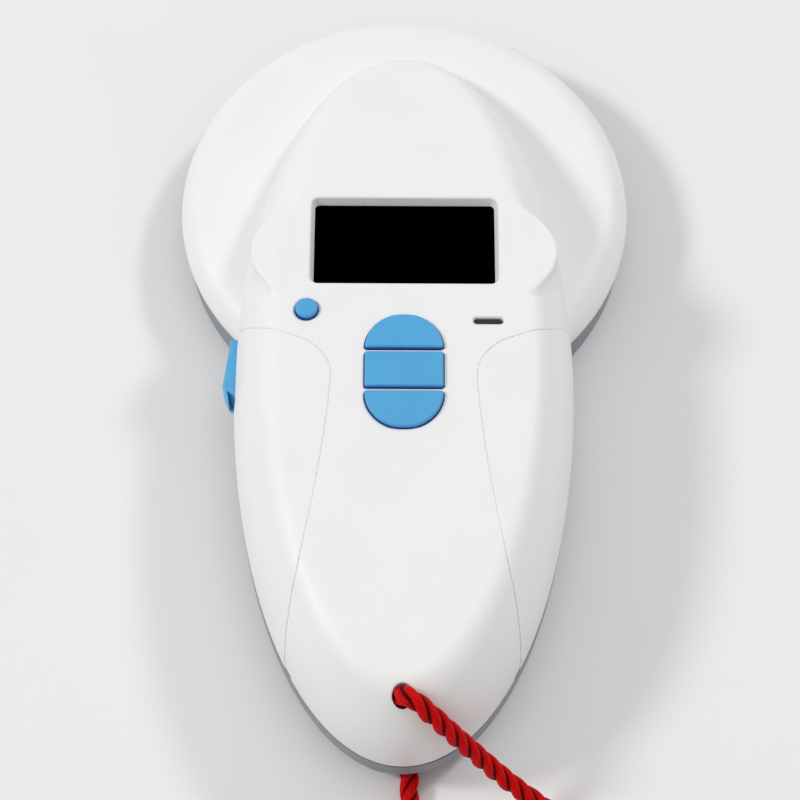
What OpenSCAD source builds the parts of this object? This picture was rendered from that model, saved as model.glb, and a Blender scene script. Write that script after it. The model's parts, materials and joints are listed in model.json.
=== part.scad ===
// Handheld reader for animal identification microchips: a round antenna head on an oval handle.
// Millimetres, +Z up, +Y towards the head. The origin lies on the resting plane, under the case's centre.

/* [Case] */
// Length of the case from the tail to the front of the head
case_l = 171.5; // [170.5:0.5:172.5]
// Diameter of the round antenna head
head_d = 95; // [94:0.5:96]
// Height of the head's flat top
head_top = 16.5; // [16:0.25:17]
// Half width of the oval handle
oval_b = 34.4; // [34:0.1:34.8]
// Half length of the oval that outlines the handle and its dome
oval_a = 79; // [78.5:0.1:79.5]
// Height of the handle's flat top
crown_z = 34; // [33.8:0.1:34.2]
// Wall thickness of both covers
wall = 2.4; // [2.3:0.05:2.5]

/* [Controls] */
// Length of the display window
window_l = 36; // [35:0.1:36.4]
// Width of the display window
window_w = 18.3; // [17.8:0.1:18.5]
// Radius of the rounded ends of the key cluster
key_r = 7.7; // [7.5:0.1:7.9]
// Height of the key tops above the handle
key_rise = 1; // [0.8:0.1:1.2]
// Diameter of the power button
power_d = 5; // [4.8:0.1:5.2]

/* [Lanyard] */
// Diameter of the hole through the tail
lanyard_hole_d = 4.1; // [4:0.1:4.6]
// Diameter of the twisted cord
cord_d = 3.8; // [3.6:0.1:4]

/* [Hidden] */
$fn = 64;

// Heights of the case
seam_z = 10;
seal_t = 0.4;
upper_z = seam_z + seal_t / 2;
lower_z = seam_z - seal_t / 2;
shoulder_z = 14;
belly_shoulder_z = 6;

// Places along the case
head_r = head_d / 2;
head_y = case_l / 2 - head_r;
oval_y = oval_a - case_l / 2;
dome_tip_y = oval_y + oval_a;
tail_end_y = -case_l / 2;

// Rounded rim of the head
rim_w = 7;
rim_h = 6;

// Slope of the dome, fall of the tail and rise of the belly under it
dome_y = 28;
dome_drop = 12.5;
tail_y = -24;
tail_drop = 1.2;
belly_y = -58;
belly_rise = 2.5;

// Side rounding of the handle, tighter at the dome's tip
side_round = 10.5;
tip_round_less = 5;
belly_round = 4;

// Facets of the oval solids
oval_steps = 72;
oval_rings = 7;

// Raised pod around the display
pod_a = 30.7;
pod_b = 16.4;
pod_y = 14.1;
window_y = 16.45;
window_flare = 0.9;
ceiling_z = crown_z - wall;

// Side grips
grip_t = 1;
grip_gap = 0.12;
grip_corner = [14.3, -13];
grip_end = [22.6, -66.6];

// Key cluster
keys_front_y = -0.9;
keys_back_y = -26;
key_spans = [[-8.5, keys_front_y], [-17.1, -9.3], [keys_back_y, -17.9]];
key_gap = 0.15;
key_bottom_z = ceiling_z - 1;
flange_t = 0.9;
flange_w = 0.9;
power_xy = [-19.3, 0.7];
indicator_xy = [16.6, -1.95];
indicator_l = 5.7;
indicator_w = 1.1;

// Circuit board and what stands on it
board_z = 25;
board_t = 1.6;
board_half_w = 24.8;
board_front_y = 28.6;
board_waist_y = -12;
board_tail_half_w = 18.4;
board_tail_y = -44;
board_top = board_z + board_t;
board_posts = [[-23, 22], [23, 22], [-16, -41], [16, -41]];
mat_z = 28.4;
mat_t = 1.2;
module_z = 28.1;
module_t = 1.9;
module_front_y = 27;
flex_half_w = 8;
flex_front_y = 28;
flex_z = 28.6;
flex_t = 0.2;
pane_t = 1.2;
glue_t = 0.1;
gasket_t = 0.4;
switch_side = 4;

// Antenna coil in the head
coil_r = 37.5;
coil_w = 4;
coil_z = 3.8;
coil_h = 3.6;
flange_h = 1;

// Battery bay for three AAA cells
cell_d = 10.5;
cell_l = 44.5;
cell_pitch = 10.9;
cell_z = 7.9;
cell_button_d = 3.8;
cell_button_h = 1;
contact_t = 0.3;
contact_side = 8;
spring_wire_r = 0.3;
spring_r = 3.4;
spring_taper = 1.2;
bay_y = -34;
bay_l = 52;
contact_back_y = bay_y - 24.6;
contact_front_y = bay_y + 24.3;
door_w = 36;
door_t = 1.9;
door_lift = 0.3;
door_travel = 6;
tongue_ys = [-17, -34, -51];
tongue_l = 8;
tongue_w = 1.4;
pocket_z = 2.3;
tray_z = 2.4;
tray_top = 15;
tray_t = 1.4;

// Trigger on the left side
trigger_pivot = [-30.4, -0.4];
trigger_z = 13.4;
trigger_h = 6.2;
trigger_gap = 0.2;
trigger_slot_ys = [-13.4, 1.9];
trigger_outline = [
    [-30.4, 1.5], [-35.2, 1.5], [-35.8, -3.5], [-36.5, -9.2], [-36.2, -10.2], [-35.2, -12.3], [-33.9, -12.9],
    [-31.4, -12.9], [-31.4, -2.3], [-29.2, -1.8]
];
trigger_notch = [[-35.5, -10.3], [-34.9, -13.5], [-33.2, -13.5], [-33.2, -12]];
notch_floor = 0.9;
pin_r = 0.8;
pin_low_z = 11.4;
pin_high_z = 21.6;
bevel_top = [-32, 26.4];
bevel_foot_x = -33.95;

// Screws
case_screws_xy = [[-20, 60], [20, 60], [-22, -46], [22, -46]];
case_screw_r = 1.25;
case_screw_l = 10;
screw_head_z = 2.6;
boss_r = 3.4;

// Lanyard hole and the groove that lets the cord out under the tail
hole_y = -78.7;
groove_w = 6.5;
groove_top = 5.5;

// Route of the cord, from inside the top of the hole, round the loop and back into the bottom of it
cord_route = [
    [0, -78.7, 24], [0, -78.7, 28.5], [0.1, -79.1, 31.3], [0.7, -79.8, 33.1], [1.7, -80.5, 33.6],
    [3.1, -81.4, 32.9], [4.6, -82.3, 31.4], [6.1, -82.9, 29.6], [9.1, -84.3, 25.6], [12.2, -85.4, 21],
    [15.3, -86.6, 16.6], [18.4, -87.9, 12.6], [22.3, -89.6, 8.6], [26.4, -91.5, 5.6], [31.5, -94.5, 3.2],
    [38, -99, 2.1], [45.5, -106, 2], [53, -117, 2], [57.5, -131, 2], [58, -147, 2],
    [54, -160, 2], [46, -171, 2.4], [36, -179, 4], [25, -183, 5.8], [15, -184, 5.8], [5, -183, 5.8],
    [-6, -179, 4], [-15, -172, 2.4], [-21, -162, 2], [-23, -150, 2], [-21, -138, 2], [-15, -126, 2],
    [-8, -115, 2], [-2, -105, 2], [1, -96, 2], [1.4, -89, 2], [1.2, -84, 2.5],
    [0.6, -80.6, 4.6], [0, -78.7, 9]
];
knot_place = [15, -183.6, 5.8];
knot_l = 17;
knot_r = 5.6;

// ---- Formulas of the outer surface ----

function clamp01(v) = min(max(v, 0), 1);

function ease(from, to, v) = let (t = clamp01((v - from) / (to - from))) t * t * (3 - 2 * t);

// Height of the handle's top along its length
function crown(y) = crown_z
    - dome_drop * pow(clamp01((y - dome_y) / (dome_tip_y - dome_y)), 1.25)
    - tail_drop * pow(clamp01((tail_y - y) / (tail_y - tail_end_y)), 2);

// Width of the handle's side rounding along its length
function round_w(y) = side_round - tip_round_less * ease(30, 74, y);

function belly(y) = belly_rise * ease(belly_y, -82, y);

function oval_xy(angle, inset) =
    [(oval_b - inset) * cos(angle), oval_y + (oval_a - inset) * sin(angle)];

function oval_inward(angle, inset) =
    let (n = [cos(angle) / (oval_b - inset), sin(angle) / (oval_a - inset)]) -n / norm(n);

// Point of the upper surface: turn 0 is on the side wall, turn 90 on the flat top
function upper_point(angle, inset, turn) = let (
    edge = oval_xy(angle, inset),
    width = round_w(edge[1]) - inset / 2,
    p = edge + oval_inward(angle, inset) * width * (1 - cos(turn)),
    rise = crown(p[1]) - inset - shoulder_z
) [p[0], p[1], shoulder_z + rise * sin(turn)];

// Point of the lower surface: turn 0 is on the side wall, turn 90 on the flat belly
function lower_point(angle, inset, turn) = let (
    edge = oval_xy(angle, inset),
    p = edge + oval_inward(angle, inset) * belly_round * (1 - cos(turn)),
    fall = belly_shoulder_z - belly(p[1]) - inset
) [p[0], p[1], belly_shoulder_z - fall * sin(turn)];

function step_angle(i) = 90 + 360 * i / oval_steps;

// Faces of a stack of rings closed by a flat base and by strips across the last ring
function stack_faces(n, rings, flip) = let (
    half = n / 2,
    last = rings * n,
    sides = [
        for (r = [0 : rings - 1], i = [0 : n - 1], half_quad = [0, 1])
            let (j = (i + 1) % n, a = r * n + i, b = r * n + n + i, c = r * n + n + j, d = r * n + j)
            half_quad == 0 ? [a, b, c] : [a, c, d]
    ],
    strips = [
        for (i = [1 : half - 2])
            [last + i, last + n - i, last + n - i - 1, last + i + 1]
    ],
    ends = [[last, last + n - 1, last + 1], [last + half - 1, last + half + 1, last + half]],
    base = [[for (i = [0 : n - 1]) i]],
    all_faces = concat(sides, strips, ends, base)
) flip ? [for (f = all_faces) [for (k = [len(f) - 1 : -1 : 0]) f[k]]] : all_faces;

// Upper half of the oval body, shrunk by inset, from base_z up
module oval_upper(inset, base_z) {
    base = [for (i = [0 : oval_steps - 1]) concat(oval_xy(step_angle(i), inset), base_z)];
    skin = [
        for (k = [0 : oval_rings], i = [0 : oval_steps - 1])
            upper_point(step_angle(i), inset, 90 * k / oval_rings)
    ];
    polyhedron(concat(base, skin), stack_faces(oval_steps, oval_rings + 1, false), convexity = 6);
}

// Lower half of the oval body, shrunk by inset, from base_z down
module oval_lower(inset, base_z) {
    rings = 4;
    base = [for (i = [0 : oval_steps - 1]) concat(oval_xy(step_angle(i), inset), base_z)];
    skin = [
        for (k = [0 : rings], i = [0 : oval_steps - 1])
            lower_point(step_angle(i), inset, 90 * k / rings)
    ];
    polyhedron(concat(base, skin), stack_faces(oval_steps, rings + 1, true), convexity = 6);
}

module at_head() {
    translate([0, head_y, 0]) children();
}

// Upper half of the head, shrunk by inset: a disc with a quarter-ellipse rim
module head_upper(inset, base_z) {
    rim_z = head_top - rim_h;
    at_head() rotate_extrude($fn = 128) polygon(concat(
        [[0, base_z], [head_r - inset, base_z]],
        [
            for (t = [0 : 15 : 90])
                [head_r - inset - rim_w * (1 - cos(t)), rim_z + (rim_h - inset) * sin(t)]
        ],
        [[0, head_top - inset]]
    ));
}

// Lower half of the head: a slightly tapered tub with a broken bottom edge
module head_lower(inset, base_z) {
    at_head() rotate_extrude($fn = 128) polygon([
        [0, inset], [head_r - 2 - inset, inset], [head_r - 0.8 - inset, 1.2 + inset],
        [head_r - 0.3 - inset, base_z], [0, base_z]
    ]);
}

// ---- Small shapes used more than once ----

module rounded_rect(l, w, r) {
    square([l - 2 * r, w], center = true);
    square([l, w - 2 * r], center = true);
    for (x = [-1, 1], y = [-1, 1])
        translate([x * (l / 2 - r), y * (w / 2 - r)]) circle(r);
}

module ellipse(a, b, steps = 72) {
    polygon([for (i = [0 : steps - 1]) [a * cos(360 * i / steps), b * sin(360 * i / steps)]]);
}

module block(low, high) {
    translate(low) cube(high - low);
}

module post(xy, r, low_z, high_z) {
    translate([xy[0], xy[1], low_z]) cylinder(r = r, h = high_z - low_z);
}

// Outline of one key: its span of the round-ended cluster, grown by gap
module key_outline(span, gap) {
    intersection() {
        union() {
            for (y = [keys_front_y - key_r, keys_back_y + key_r])
                translate([0, y]) circle(key_r + gap);
            translate([-key_r - gap, keys_back_y + key_r])
                square([2 * (key_r + gap), keys_front_y - keys_back_y - 2 * key_r]);
        }
        translate([-12, span[0] - gap]) square([24, span[1] - span[0] + 2 * gap]);
    }
}

// One key: its cap, and a flange that stops it under the cover, without one towards a neighbouring key
module key_solid(span) {
    low = span[0] - (span[0] == keys_back_y ? flange_w : 0);
    high = span[1] + (span[1] == keys_front_y ? flange_w : 0);
    translate([0, 0, key_bottom_z]) {
        linear_extrude(crown_z + key_rise - key_bottom_z) key_outline(span, 0);
        linear_extrude(flange_t) intersection() {
            key_outline([span[0] - flange_w, span[1] + flange_w], flange_w);
            translate([-12, low]) square([24, high - low]);
        }
    }
}

// Plan of one side grip on the +X side, shrunk by gap. Its inner edge bows outwards to the tail.
module grip_plan(gap) {
    seam = [
        for (t = [0 : 0.1 : 1]) [
            grip_corner[0] + (grip_end[0] - grip_corner[0]) * pow(t, 1.5) + gap,
            grip_corner[1] + (grip_end[1] - grip_corner[1]) * t
        ]
    ];
    corner = [
        [16, -8.6], [19.6, -6.3], [23, -4.9], [26.8, -3.5], [30.4, -1.4], [33.6, 2.6], [40, 4.5]
    ];
    polygon(concat(
        [[40, grip_end[1] + gap]],
        [for (i = [len(seam) - 1 : -1 : 0]) seam[i]],
        [for (p = corner) [p[0] + gap * 0.6, p[1] - gap]]
    ));
}

// Layer of the upper body that a side grip takes up
module grip_layer(side, gap) {
    difference() {
        mirror([side < 0 ? 1 : 0, 0, 0])
            translate([0, 0, seam_z - 1]) linear_extrude(30) grip_plan(gap);
        oval_upper(grip_t - gap / 4, seam_z - 2);
    }
}

// Rings along a route, as a closed tube
function unit(v) = v / norm(v);

function spline(p, i, t) = let (
    n = len(p) - 1,
    a = p[max(i - 1, 0)], b = p[i], c = p[min(i + 1, n)], d = p[min(i + 2, n)]
) 0.5 * (2 * b + (c - a) * t + (2 * a - 5 * b + 4 * c - d) * t * t + (3 * b - a - 3 * c + d) * t * t * t);

function across(dir) = let (s = cross(dir, [0, 0, 1])) norm(s) < 0.2 ? unit(cross(dir, [0, 1, 0])) : unit(s);

function tube_faces(rings, sides) = concat(
    [
        for (r = [0 : rings - 2], i = [0 : sides - 1], half_quad = [0, 1])
            let (j = (i + 1) % sides, a = r * sides + i, b = a + sides, c = r * sides + sides + j,
                d = r * sides + j)
            half_quad == 0 ? [a, c, b] : [a, d, c]
    ],
    [[for (i = [sides - 1 : -1 : 0]) i], [for (i = [0 : sides - 1]) (rings - 1) * sides + i]]
);

module tube(path, r, sides) {
    n = len(path);
    dirs = [for (i = [0 : n - 1]) unit(path[min(i + 1, n - 1)] - path[max(i - 1, 0)])];
    points = [
        for (i = [0 : n - 1], k = [0 : sides - 1])
            let (x = across(dirs[i]), y = cross(x, dirs[i]), a = 360 * (k + 0.5) / sides)
            path[i] + r * (x * cos(a) + y * sin(a))
    ];
    polyhedron(points, tube_faces(n, sides), convexity = 8);
}

// ---- Covers ----

module trigger_slot() {
    block(
        [-40, trigger_slot_ys[0], trigger_z - trigger_gap],
        [-27, trigger_slot_ys[1], trigger_z + trigger_h + trigger_gap]
    );
}

// Finger bevel above the trigger
module trigger_bevel() {
    top_z = trigger_z + trigger_h + trigger_gap;
    translate([0, trigger_slot_ys[1] - 0.2, 0]) rotate([90, 0, 0])
        linear_extrude(trigger_slot_ys[1] - trigger_slot_ys[0] - 0.6)
        polygon([bevel_top, [bevel_foot_x, top_z], [-40, top_z], [-40, bevel_top[1]]]);
}

// Four-sided frustum, growing upwards from a rectangle by flare on every side
module flared_block(l, w, h, flare) {
    ring = [for (g = [0, flare], c = [[-1, -1], [1, -1], [1, 1], [-1, 1]])
        [c[0] * (l / 2 + g), c[1] * (w / 2 + g), g > 0 ? h : 0]];
    polyhedron(ring, [[0, 1, 2, 3], [7, 6, 5, 4], [0, 4, 5, 1], [1, 5, 6, 2], [2, 6, 7, 3], [3, 7, 4, 0]]);
}

module window_cut() {
    translate([0, window_y, ceiling_z - 1]) linear_extrude(wall + 2)
        rounded_rect(window_l, window_w, 0.8);
    translate([0, window_y, ceiling_z + 0.2]) flared_block(window_l, window_w, wall, window_flare);
}

module top_cuts() {
    window_cut();
    translate([0, 0, ceiling_z - 1]) linear_extrude(wall + 3) {
        for (span = key_spans) key_outline(span, key_gap);
        translate(power_xy) circle(power_d / 2 + key_gap);
        translate(indicator_xy) rounded_rect(indicator_l, indicator_w, 0.54);
    }
    for (p = board_posts) post(p, 0.8, board_top - 1, ceiling_z);
    for (p = case_screws_xy) post(p, case_screw_r, upper_z - 1, screw_head_z + case_screw_l + 0.4);
    post([0, hole_y], lanyard_hole_d / 2, upper_z - 1, crown_z);
    trigger_slot();
    post(trigger_pivot, pin_r, pin_low_z, pin_high_z);
}

// Posts and lugs inside the top cover, cut off under its skin
module top_bosses() {
    intersection() {
        union() {
            for (p = board_posts) post(p, 2, board_top, crown_z);
            for (p = case_screws_xy) post(p, 3, upper_z, crown_z);
            post([0, hole_y], 3.9, upper_z, crown_z);
            block([-33.2, -3, pin_low_z], [-28.4, 2, trigger_z - trigger_gap]);
            block([-33.2, -3, trigger_z + trigger_h + trigger_gap], [-28.4, 2, pin_high_z]);
        }
        union() {
            oval_upper(1.3, upper_z);
            head_upper(1.3, upper_z);
        }
    }
}

module top_cover() {
    color("#f2f2f1") difference() {
        union() {
            difference() {
                union() {
                    head_upper(0, upper_z);
                    oval_upper(0, upper_z);
                    translate([0, pod_y, 24]) linear_extrude(crown_z - 24) ellipse(pod_a, pod_b);
                }
                head_upper(wall, upper_z - 1);
                oval_upper(wall, upper_z - 1);
                translate([0, pod_y, 20]) linear_extrude(ceiling_z - 20)
                    ellipse(pod_a - wall, pod_b - wall);
            }
            top_bosses();
        }
        grip_layer(1, 0);
        grip_layer(-1, 0);
        top_cuts();
    }
}

module grip(side) {
    difference() {
        intersection() {
            oval_upper(0, upper_z);
            grip_layer(side, grip_gap);
        }
        translate([0, pod_y, 20]) linear_extrude(20) ellipse(pod_a + 0.1, pod_b + 0.1);
    }
}

module grip_left() {
    color("#f0f0ef") difference() {
        grip(-1);
        trigger_slot();
        trigger_bevel();
    }
}

module grip_right() {
    color("#f0f0ef") grip(1);
}

// Pocket of the battery door: opening, thumb scoop, and grooves with entry notches for its tongues
module door_pocket() {
    half = door_w / 2 + 0.2;
    front = bay_y + bay_l / 2 + 0.2;
    back = bay_y - bay_l / 2 - 0.2;
    block([-half, back, -1], [half, front, 8]);
    block([-half, back - door_travel, -1], [half, back + 1, pocket_z]);
    wide = half + tongue_w + 0.2;
    for (y = tongue_ys) {
        rear = y - tongue_l / 2 - door_travel - 0.2;
        block([-wide, rear, 1], [wide, y + tongue_l / 2 + 0.2, pocket_z]);
        block([-wide, rear, -1], [wide, y - 1.6, pocket_z]);
    }
}

module bottom_cover() {
    color("#8d949b") difference() {
        union() {
            difference() {
                union() {
                    head_lower(0, lower_z);
                    oval_lower(0, lower_z);
                }
                head_lower(wall, lower_z + 1);
                oval_lower(wall, lower_z + 1);
            }
            for (p = case_screws_xy) post(p, boss_r, 1, lower_z);
            intersection() {
                union() {
                    post([0, hole_y], 6, 3, lower_z);
                    block([-6, -90, 3], [6, hole_y, groove_top + 1.6]);
                    block([-21, -70, 1], [21, -60.4, 4.3]);
                    block([-29, -15.2, 1], [-24.5, -8.8, 14]);
                }
                union() {
                    oval_lower(0.4, lower_z);
                    block([-30, -20, 5], [-20, 0, 20]);
                }
            }
        }
        door_pocket();
        for (p = case_screws_xy) {
            post(p, 2.7, -1, screw_head_z);
            post(p, case_screw_r + 0.2, -1, lower_z + 1);
        }
        post([0, hole_y], lanyard_hole_d / 2, -1, lower_z + 1);
        block([-groove_w / 2, -90, -1], [groove_w / 2, hole_y, groove_top]);
        post([0, hole_y], groove_w / 2, -1, groove_top);
    }
}

module case_outline(inset) {
    translate([0, head_y]) circle(head_r - inset, $fn = 128);
    polygon([for (i = [0 : oval_steps - 1]) oval_xy(step_angle(i), inset)]);
}

module case_seal() {
    color("#3c4048") translate([0, 0, lower_z]) linear_extrude(seal_t) difference() {
        case_outline(0.35);
        case_outline(wall - 0.3);
    }
}

// ---- Display ----

module display_window() {
    color("#08080a") translate([0, window_y, ceiling_z - pane_t]) linear_extrude(pane_t - glue_t)
        rounded_rect(window_l + 1.8, window_w + 1.8, 1);
}

module display_gasket() {
    color("#26262a") translate([0, window_y, module_z + module_t]) linear_extrude(gasket_t)
        difference() {
            rounded_rect(window_l + 1.8, window_w + 1.8, 1);
            rounded_rect(window_l, window_w, 0.8);
        }
}

module display_module() {
    color("#1b1c20")
        block([-20.5, 4.4, module_z], [20.5, module_front_y, module_z + module_t]);
}

module display_flex() {
    color("#b5651d") {
        block([-flex_half_w, module_front_y, flex_z], [flex_half_w, flex_front_y, flex_z + flex_t]);
        block(
            [-flex_half_w, flex_front_y - flex_t, board_top],
            [flex_half_w, flex_front_y, flex_z + flex_t]
        );
    }
}

// ---- Keys ----

module up_key() {
    color("#57a9dc") key_solid(key_spans[0]);
}

module ok_key() {
    color("#57a9dc") key_solid(key_spans[1]);
}

module down_key() {
    color("#57a9dc") key_solid(key_spans[2]);
}

module power_button() {
    color("#57a9dc") {
        post(power_xy, power_d / 2, key_bottom_z, crown_z + key_rise);
        post(power_xy, power_d / 2 + flange_w, key_bottom_z, key_bottom_z + flange_t);
    }
}

module keypad_mat() {
    color("#7fb8da") {
        block([-9.5, -28, mat_z], [9.5, 2, mat_z + mat_t]);
        block([-23, -2.6, mat_z], [-9, 4, mat_z + mat_t]);
    }
}

module tact_switches() {
    centres = concat([for (s = key_spans) [0, (s[0] + s[1]) / 2]], [power_xy]);
    color("#c9ccd0") for (c = centres) {
        translate([c[0], c[1], board_top + 0.6]) cube([switch_side, switch_side, 1.2], center = true);
        post(c, 1.1, board_top + 1.1, mat_z);
    }
}

module indicator_lens() {
    color("#33343a") translate(indicator_xy) {
        translate([0, 0, ceiling_z]) linear_extrude(wall - 0.7) rounded_rect(5.6, 1, 0.49);
        translate([0, 0, ceiling_z - 0.7]) linear_extrude(0.7) rounded_rect(7.4, 3, 0.8);
    }
}

module indicator_led() {
    color("#e8e4d0") translate([indicator_xy[0], indicator_xy[1], board_top + 0.5])
        cube([3.2, 1.6, 1], center = true);
}

// ---- Electronics ----

module main_board() {
    color("#1f6b3a") difference() {
        union() {
            block([-board_half_w, board_waist_y, board_z], [board_half_w, board_front_y, board_top]);
            block([-board_tail_half_w, board_tail_y, board_z], [board_tail_half_w, board_waist_y, board_top]);
        }
        for (p = board_posts) post(p, 1, board_z - 1, board_top + 1);
    }
}

module processor_chip() {
    color("#202124") block([-5, -24, board_z - 1.4], [5, -14, board_z]);
}

module radio_chip() {
    color("#26272b") block([9, 4, board_z - 1.8], [19, 13, board_z]);
}

module buzzer() {
    color("#17181a") difference() {
        post([-10, 17], 6, board_z - 5.5, board_z);
        post([-10, 17], 1, board_z - 6, board_z - 4.5);
    }
}

module coil_former() {
    color("#d9d6c8") at_head() rotate_extrude($fn = 96) polygon([
        [coil_r - 1.2, coil_z - flange_h], [coil_r + coil_w, coil_z - flange_h],
        [coil_r + coil_w, coil_z], [coil_r, coil_z], [coil_r, coil_z + coil_h],
        [coil_r + coil_w, coil_z + coil_h], [coil_r + coil_w, coil_z + coil_h + flange_h],
        [coil_r - 1.2, coil_z + coil_h + flange_h]
    ]);
}

module antenna_coil() {
    color("#b87333") at_head() translate([0, 0, coil_z]) rotate_extrude($fn = 96)
        translate([coil_r, 0]) square([coil_w - 0.3, coil_h]);
}

module antenna_leads() {
    color("#b5452e") for (x = [-3, 3])
        post([x, head_y - coil_r - 1.5], 0.5, coil_z + coil_h + flange_h, board_z);
}

// ---- Trigger ----

module trigger_lever() {
    color("#57a9dc") translate([0, 0, trigger_z]) difference() {
        linear_extrude(trigger_h) difference() {
            union() {
                translate(trigger_pivot) circle(1.9);
                polygon(trigger_outline);
            }
            translate(trigger_pivot) circle(pin_r + 0.06);
        }
        translate([0, 0, notch_floor]) linear_extrude(trigger_h) polygon(trigger_notch);
    }
}

module trigger_pin() {
    color("#b9bdc2") post(trigger_pivot, pin_r, pin_low_z, pin_high_z);
}

module trigger_switch() {
    color("#2b2c30") {
        block([-28.8, -15, 14], [-24.6, -9, 19.4]);
        block([-29.6, -13, 16], [-28.8, -11, 17.6]);
    }
}

// ---- Power ----

module cell_xs() {
    for (k = [-1 : 1]) translate([k * cell_pitch, 0, cell_z]) children();
}

module battery_cells() {
    color("#3f7f4a") cell_xs() translate([0, bay_y - cell_l / 2 + 0.25, 0]) rotate([-90, 0, 0]) {
        cylinder(d = cell_d, h = cell_l - cell_button_h);
        cylinder(d = cell_button_d, h = cell_l);
    }
}

module battery_tray() {
    half_x = 17.9;
    half_y = bay_l / 2;
    color("#3a3c40") difference() {
        block([-half_x, bay_y - half_y, tray_z], [half_x, bay_y + half_y, tray_top]);
        block(
            [-half_x + tray_t, bay_y - half_y + tray_t, tray_z - 1],
            [half_x - tray_t, bay_y + half_y - tray_t, tray_top - tray_t]
        );
    }
}

module battery_springs() {
    turns = 3;
    steps = 10;
    first_y = contact_back_y + contact_t + spring_wire_r + 0.02;
    last_y = bay_y - cell_l / 2 + 0.25 - spring_wire_r - 0.02;
    color("#b9bdc2") cell_xs() tube([
        for (i = [0 : turns * steps])
            let (a = 360 * i / steps, t = i / (turns * steps), r = spring_r - spring_taper * t)
            [r * cos(a), first_y + (last_y - first_y) * t, r * sin(a)]
    ], spring_wire_r, 5);
}

module battery_contacts() {
    color("#c8ccd0") cell_xs() for (y = [contact_back_y, contact_front_y])
        translate([0, y + contact_t / 2, 0]) cube([contact_side, contact_t, contact_side], center = true);
}

module battery_door() {
    low = [-door_w / 2, bay_y - bay_l / 2, door_lift];
    color("#858c93") difference() {
        union() {
            block(low, [door_w / 2, bay_y + bay_l / 2, door_lift + door_t]);
            for (y = tongue_ys) block(
                [-door_w / 2 - tongue_w, y - tongue_l / 2, 1.1],
                [door_w / 2 + tongue_w, y + tongue_l / 2, 2.1]
            );
        }
        for (y = [-57, -55, -53]) block([-8, y, 0], [8, y + 0.9, door_lift + 0.5]);
    }
}

// ---- Fasteners ----

module screw(xy, head_r, head_h, shank_r, shank_l, head_z) {
    difference() {
        post(xy, head_r, head_z - head_h, head_z);
        translate([xy[0], xy[1], head_z - head_h]) for (turn = [0, 90])
            rotate(turn) cube([head_r * 1.2, 0.7, 1.6], center = true);
    }
    post(xy, shank_r, head_z, head_z + shank_l);
}

module case_screws() {
    color("#9a9ea3") for (p = case_screws_xy) screw(p, 2.5, 2, case_screw_r, case_screw_l, screw_head_z);
}

module board_screws() {
    color("#9a9ea3") for (p = board_posts) screw(p, 1.7, 1.2, 0.8, 5, board_z);
}

// ---- Lanyard ----

module lanyard_cord() {
    last = len(cord_route) - 1;
    path = concat(
        [for (i = [0 : last - 1], t = [0, 0.5]) spline(cord_route, i, t)],
        [cord_route[last]]
    );
    color("#b3120f") tube(path, cord_d / 2, 8);
}

module lanyard_knot() {
    end = knot_l / 2;
    color("#a8100d") translate(knot_place) rotate([0, 90, 0])
        rotate_extrude($fn = 32) polygon([
            [cord_d / 2, -end], [knot_r - 1, -end], [knot_r, 1.5 - end], [knot_r, end - 1.5],
            [knot_r - 1, end], [cord_d / 2, end]
        ]);
}

top_cover();
bottom_cover();
grip_left();
grip_right();
case_seal();
display_window();
display_gasket();
display_module();
display_flex();
power_button();
up_key();
ok_key();
down_key();
keypad_mat();
tact_switches();
indicator_lens();
indicator_led();
main_board();
processor_chip();
radio_chip();
buzzer();
coil_former();
antenna_coil();
antenna_leads();
trigger_lever();
trigger_pin();
trigger_switch();
battery_cells();
battery_tray();
battery_springs();
battery_contacts();
battery_door();
case_screws();
board_screws();
lanyard_cord();
lanyard_knot();
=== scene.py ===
import math

import bpy
import numpy as np
from mathutils import Matrix, Vector
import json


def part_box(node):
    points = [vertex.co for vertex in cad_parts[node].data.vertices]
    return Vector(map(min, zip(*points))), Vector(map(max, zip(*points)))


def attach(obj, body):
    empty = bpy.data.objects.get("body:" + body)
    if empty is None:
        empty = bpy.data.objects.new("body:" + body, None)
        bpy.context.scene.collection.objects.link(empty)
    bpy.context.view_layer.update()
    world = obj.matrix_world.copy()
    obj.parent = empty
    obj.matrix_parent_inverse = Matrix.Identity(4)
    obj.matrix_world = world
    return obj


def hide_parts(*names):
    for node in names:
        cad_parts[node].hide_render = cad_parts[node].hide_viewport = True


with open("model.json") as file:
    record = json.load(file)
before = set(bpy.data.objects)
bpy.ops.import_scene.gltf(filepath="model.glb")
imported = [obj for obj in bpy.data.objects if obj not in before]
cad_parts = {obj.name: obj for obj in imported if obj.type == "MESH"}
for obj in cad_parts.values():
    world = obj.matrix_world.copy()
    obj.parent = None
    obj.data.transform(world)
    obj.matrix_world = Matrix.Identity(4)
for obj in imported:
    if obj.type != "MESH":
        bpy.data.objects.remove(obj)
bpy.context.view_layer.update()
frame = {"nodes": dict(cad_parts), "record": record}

# ---------------------------------------------------------------- sizes, in millimetres

MM = 0.001


def box_mm(node):
    """Lowest and highest corner of a CAD node, in millimetres."""
    low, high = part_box(node)
    return np.array(low) / MM, np.array(high) / MM


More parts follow.
